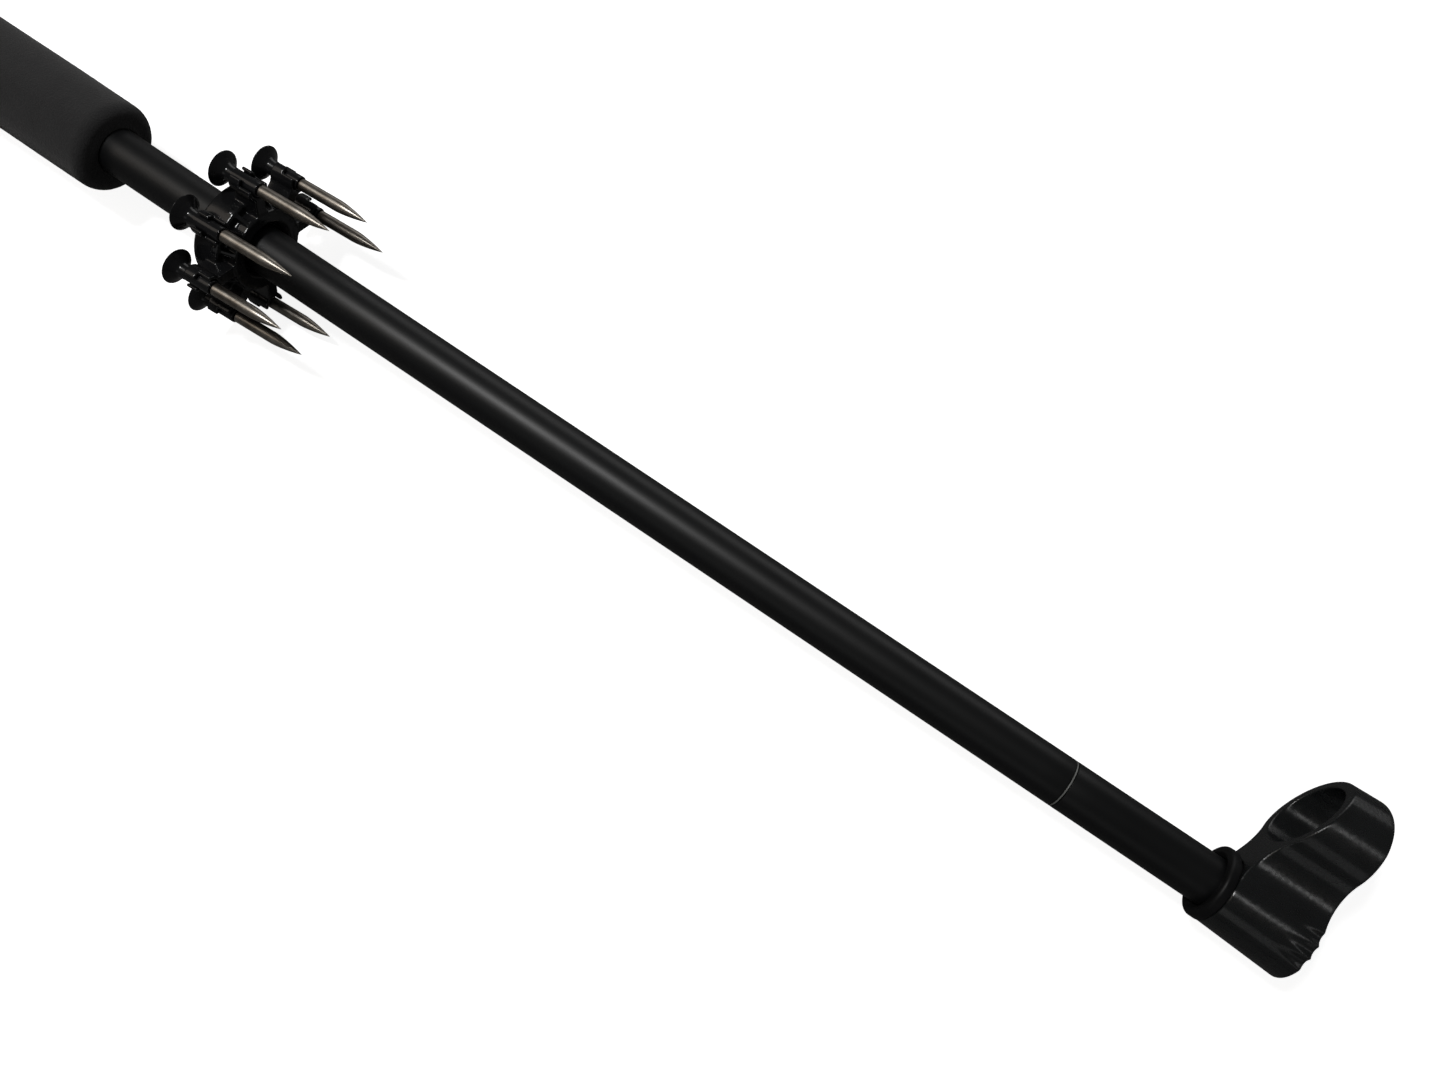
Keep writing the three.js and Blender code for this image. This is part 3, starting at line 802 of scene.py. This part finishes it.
def dart(number, place):
    """A tail, whose cone flares backwards to a sharp rim, and a steel spike set in its shank."""
    body = f"dart_{number}"
    hole = TANG_RADIUS + GAP
    hole_end = SHANK_FRONT - TANG_LENGTH - GAP
    rim = CONE_RIM
    tail = [
        (rim + 2.2, 0, 0),
        (rim + 1.9, 1.3, 1.5),
        (rim + 1.05, 3.7, 3.0),
        (rim, CONE_RADIUS - 0.22, 0.08),
        (rim + 0.32, CONE_RADIUS, 0.14),
        (rim + 1.55, CONE_RADIUS - 1.75, 3.0),
        (rim + 2.9, SHANK_RADIUS + 0.25, 1.6),
        (rim + 5.2, SHANK_RADIUS - 0.06, 3.0),
        (SHANK_FRONT, SHANK_RADIUS, 0.3),
        (SHANK_FRONT, hole, 0.1),
        (hole_end, hole, 0.1),
        (hole_end, 0, 0),
    ]
    name, nodes = f"dart_{number}_cone_and_shank", [f"dart_{number}_tail"]
    fineness = {"segments": 72, "steps": 5, "longest": 1.2}
    turned(name, tail, place, body, nodes, "gloss_plastic", GLOSS, **fineness)
    shoulder = SHANK_FRONT + GAP
    point = SPIKE_TIP - SPIKE_POINT_LENGTH
    spike = [
        (hole_end + 2 * GAP, 0, 0),
        (hole_end + 2 * GAP, TANG_RADIUS, 0.15),
        (shoulder, TANG_RADIUS, 0.05),
        (shoulder, SPIKE_RADIUS, 0.75),
        (point, SPIKE_RADIUS, 0),
    ]
    outline = rounded(spike, 6)
    for share in np.linspace(0.06, 1, SPIKE_POINT_STEPS):
        radius = SPIKE_RADIUS * (1 - share**SPIKE_BELLY) ** SPIKE_TAPER
        outline.append(np.array([point + SPIKE_POINT_LENGTH * share, radius]))
    name, nodes = f"dart_{number}_steel", [f"dart_{number}_spike"]
    mesh = turned_mesh(name, spaced(outline, 1.2), 64)
    finish_mesh(name, mesh, place, body, nodes, STEEL, sharp=SHARP_ANGLE)


# ------------------------------------------------------------------ muzzle guard and holder


def muzzle_guard():
    """A flange behind the holder, a sleeve inside it and a lip over the barrel's front edge."""
    bore = BARREL_RADIUS + GAP
    lip_rear = GUARD_FRONT - GUARD_LIP
    corners = [
        (GUARD_REAR + GUARD_LEAD_IN_LENGTH, bore, 0.3),
        (GUARD_REAR, bore + GUARD_LEAD_IN_RISE, 0.5),
        (GUARD_REAR, GUARD_RADIUS, 2.5),
        (GUARD_FLANGE_FRONT, GUARD_RADIUS, 0.25),
        (GUARD_FLANGE_FRONT, GUARD_SLEEVE_RADIUS, 0.2),
        (GUARD_FRONT, GUARD_SLEEVE_RADIUS, 0.3),
        (GUARD_FRONT, GUARD_LIP_RADIUS, 0.4),
        (lip_rear, GUARD_LIP_RADIUS, 0.2),
        (lip_rear, bore, 0.2),
    ]
    name, body = "muzzle_guard_collar", "muzzle_guard"
    turned(name, corners, BARREL_PLACE, body, ["muzzle_guard"], "soft_plastic", VINYL)


def holder_outline(side, up, socket_radius, ring_radius):
    """Distance-like field of the figure-of-eight outline across the holder."""
    reach_socket = socket_radius + NECK_FILLET_RADIUS
    reach_ring = ring_radius + NECK_FILLET_RADIUS
    along = (RING_DISTANCE**2 + reach_socket**2 - reach_ring**2) / (2 * RING_DISTANCE)
    aside = np.sqrt(reach_socket**2 - along**2)
    socket = np.hypot(side, up) - socket_radius
    ring = np.hypot(side, up - RING_DISTANCE) - ring_radius
    hollow = NECK_FILLET_RADIUS - np.hypot(np.abs(side) - aside, up - along)
    socket_up = along * socket_radius / reach_socket
    ring_up = RING_DISTANCE - (RING_DISTANCE - along) * ring_radius / reach_ring
    socket_side = aside * socket_radius / reach_socket
    ring_side = aside * ring_radius / reach_ring
    share = np.clip((up - socket_up) / (ring_up - socket_up), 0, 1)
    edge = np.abs(side) - socket_side - share * (ring_side - socket_side)
    neck = np.maximum(np.maximum(hollow, edge), np.maximum(socket_up - up, up - ring_up))
    return np.minimum(np.minimum(socket, ring), neck)


def groove_field(x, side, up):
    """Distance to the finger grooves on both sides of the socket, which deepen forwards."""
    angle = np.arctan2(np.abs(side), up) - math.pi / 2
    furthest = (GROOVES_PER_SIDE - 1) / 2
    off = angle - np.clip(np.round(angle / GROOVE_PITCH), -furthest, furthest) * GROOVE_PITCH
    radius = np.hypot(side, up)
    rise = (GROOVE_DEPTH + GROOVE_RUN_OUT) / GROOVE_LENGTH
    centre = SOCKET_FRONT_RADIUS + GROOVE_RADIUS - GROOVE_DEPTH + (LENGTH - x) * rise
    return np.hypot(radius * np.sin(off), radius * np.cos(off) - centre) - GROOVE_RADIUS


def holder_field(x, side, up):
    """The holder: x is along the barrel, up points from the barrel to the side ring."""
    rear = GUARD_FLANGE_FRONT + GAP
    share = np.clip((x - rear) / (LENGTH - rear), 0, 1)
    socket_radius = SOCKET_REAR_RADIUS + share * (SOCKET_FRONT_RADIUS - SOCKET_REAR_RADIUS)
    ring_radius = RING_REAR_RADIUS + share * (RING_FRONT_RADIUS - RING_REAR_RADIUS)
    body = holder_outline(side, up, socket_radius, ring_radius)
    body = smooth_max(body, -groove_field(x, side, up), HOLDER_EDGE)
    outwards = np.clip((up - RING_EDGE_START) / RING_EDGE_REACH, 0, 1)
    body = smooth_max(body, x - LENGTH, FRONT_EDGE + RING_EDGE_GAIN * outwards)
    slant = (rear + HOLDER_SLANT * (up - SLANT_START) - x) / math.hypot(1, HOLDER_SLANT)
    body = smooth_max(body, smooth_max(rear - x, slant, SLANT_EDGE), HOLDER_EDGE)
    socket_bore = GUARD_SLEEVE_RADIUS + GAP - np.hypot(side, up)
    ring_bore = RING_BORE_RADIUS - np.hypot(side, up - RING_DISTANCE)
    body = smooth_max(body, socket_bore, SOCKET_BORE_EDGE)
    return smooth_max(body, ring_bore, HOLDER_EDGE)


def muzzle_holder():
    across = RING_FRONT_RADIUS + 0.2
    low = (GUARD_FLANGE_FRONT, -across, -SOCKET_FRONT_RADIUS)
    high = (LENGTH, across, RING_DISTANCE + RING_FRONT_RADIUS)
    name, body = "muzzle_holder_print", "muzzle_holder"
    mesh = field_mesh(name, holder_field, low, high, HOLDER_STEP)
    finish_mesh(name, mesh, HOLDER_PLACE, body, ["muzzle_holder"], PRINTED)


# ------------------------------------------------------------------ build the object

rear_barrel()
main_barrel()
seam_ring()
front_barrel()
foam_grip()
mouthpiece()
quiver_body()
for number, dart_place in enumerate(DART_PLACES, 1):
    dart(number, dart_place)
muzzle_guard()
muzzle_holder()

# ------------------------------------------------------------------ camera, floor and light

CAMERA_STATION, CAMERA_SIDE, CAMERA_HEIGHT = 437.23, -77.1, 331.3  # from the barrel's start, in mm
CAMERA_RIGHT = Vector((0.8274, 0.5594, 0.0494))
CAMERA_FORWARD = Vector((-0.1015, 0.2354, -0.9666))
SENSOR_WIDTH = 36.0
LENS_LENGTH = 27.0311
FLOOR_REACH = 6.0
FLOOR_DROP = 0.0002
FLOOR_GLOW = 0.86
FLOOR_GREY = 0.16
ROOM_LIGHT = 0.05
MIRROR_STATION = 333
GRIP_STATION = 185


def on_barrel(station):
    """The point on the barrel's axis at a station in mm."""
    return BARREL_ORIGIN + Vector((station, 0, 0)) * MM


def add_camera():
    """The photo's viewpoint: above the front half of the barrel, looking down on it."""
    data = bpy.data.cameras.new("camera")
    data.sensor_width = SENSOR_WIDTH
    data.lens = LENS_LENGTH
    data.clip_start = 0.02
    data.clip_end = 50
    camera = bpy.data.objects.new("camera", data)
    bpy.context.scene.collection.objects.link(camera)
    back = -CAMERA_FORWARD.normalized()
    right = (CAMERA_RIGHT - back * CAMERA_RIGHT.dot(back)).normalized()
    place = Matrix((right, back.cross(right), back)).transposed().to_4x4()
    place.translation = on_barrel(CAMERA_STATION) + Vector((0, CAMERA_SIDE, CAMERA_HEIGHT)) * MM
    camera.matrix_world = place
    bpy.context.scene.camera = camera


def add_area_light(name, place, target, size, power, color=(1, 1, 1)):
    data = bpy.data.lights.new(name, "AREA")
    data.shape = "RECTANGLE"
    data.size, data.size_y = size
    data.energy = power
    data.color = color
    light = bpy.data.objects.new(name, data)
    bpy.context.scene.collection.objects.link(light)
    light.location = place
    direction = Vector(target) - Vector(place)
    light.rotation_mode = "QUATERNION"
    light.rotation_quaternion = direction.to_track_quat("-Z", "Y")


def add_floor():
    """A pale floor that looks white and keeps the soft shadows, but throws little light back up."""
    mesh = bpy.data.meshes.new("floor")
    signs = [(-1, -1), (1, -1), (1, 1), (-1, 1)]
    mesh.from_pydata([(FLOOR_REACH * x, FLOOR_REACH * y, 0) for x, y in signs], [], [(0, 1, 2, 3)])
    look = Shader("pale_floor", (0.9, 0.9, 0.9), 0.8, Specular_IOR_Level=0.1)
    look.color(look.noise(3, 3), (0.895, 0.895, 0.895), (0.905, 0.905, 0.905))
    look.shader.inputs["Emission Color"].default_value = (1, 1, 1, 1)
    look.shader.inputs["Emission Strength"].default_value = FLOOR_GLOW
    dim = look.node("ShaderNodeBsdfDiffuse")
    dim.inputs["Color"].default_value = (FLOOR_GREY, FLOOR_GREY, FLOOR_GREY, 1)
    mix = look.node("ShaderNodeMixShader")
    look.link(look.node("ShaderNodeLightPath").outputs["Is Camera Ray"], mix.inputs["Fac"])
    look.link(dim.outputs["BSDF"], mix.inputs[1])
    look.link(look.shader.outputs["BSDF"], mix.inputs[2])
    look.link(mix.outputs["Shader"], look.tree.nodes["Material Output"].inputs["Surface"])
    mesh.materials.append(look.material)
    floor = bpy.data.objects.new("floor", mesh)
    floor.location.z = -FLOOR_DROP
    bpy.context.scene.collection.objects.link(floor)


def add_world():
    """White behind the floor for the camera, and a dim, even room for everything else."""
    world = bpy.data.worlds.new("studio")
    bpy.context.scene.world = world
    world.use_nodes = True
    tree = world.node_tree
    backdrop = tree.nodes["Background"]
    backdrop.inputs["Color"].default_value = (1, 1, 1, 1)
    backdrop.inputs["Strength"].default_value = FLOOR_GLOW
    room = tree.nodes.new("ShaderNodeBackground")
    room.inputs["Color"].default_value = (1, 0.98, 0.95, 1)
    room.inputs["Strength"].default_value = ROOM_LIGHT
    mix = tree.nodes.new("ShaderNodeMixShader")
    light_path = tree.nodes.new("ShaderNodeLightPath")
    tree.links.new(light_path.outputs["Is Camera Ray"], mix.inputs["Fac"])
    tree.links.new(room.outputs["Background"], mix.inputs[1])
    tree.links.new(backdrop.outputs["Background"], mix.inputs[2])
    tree.links.new(mix.outputs["Shader"], tree.nodes["World Output"].inputs["Surface"])


def add_lights():
    """A small key over the barrel, a warm fill over the grip and a broad light on each side."""
    mirror_point = on_barrel(MIRROR_STATION)
    key_place = mirror_point + Vector((-0.30, -0.06, 0.95))
    add_area_light("key", key_place, mirror_point, (0.12, 0.12), 3.3)
    grip_end = on_barrel(GRIP_STATION)
    fill_place = grip_end + Vector((-0.75, -0.25, 1.0))
    add_area_light("warm_fill", fill_place, grip_end, (0.7, 0.7), 1.2, (1, 0.89, 0.78))
    add_area_light("side", (-0.2, 1.6, 0.45), (0, 0, 0), (1.8, 0.8), 4.2)
    add_area_light("far_side", (0.2, -1.7, 0.9), (0, 0, 0), (1.6, 0.7), 0.9)


add_camera()
add_floor()
add_world()
add_lights()

bpy.context.scene.view_settings.view_transform = "Standard"
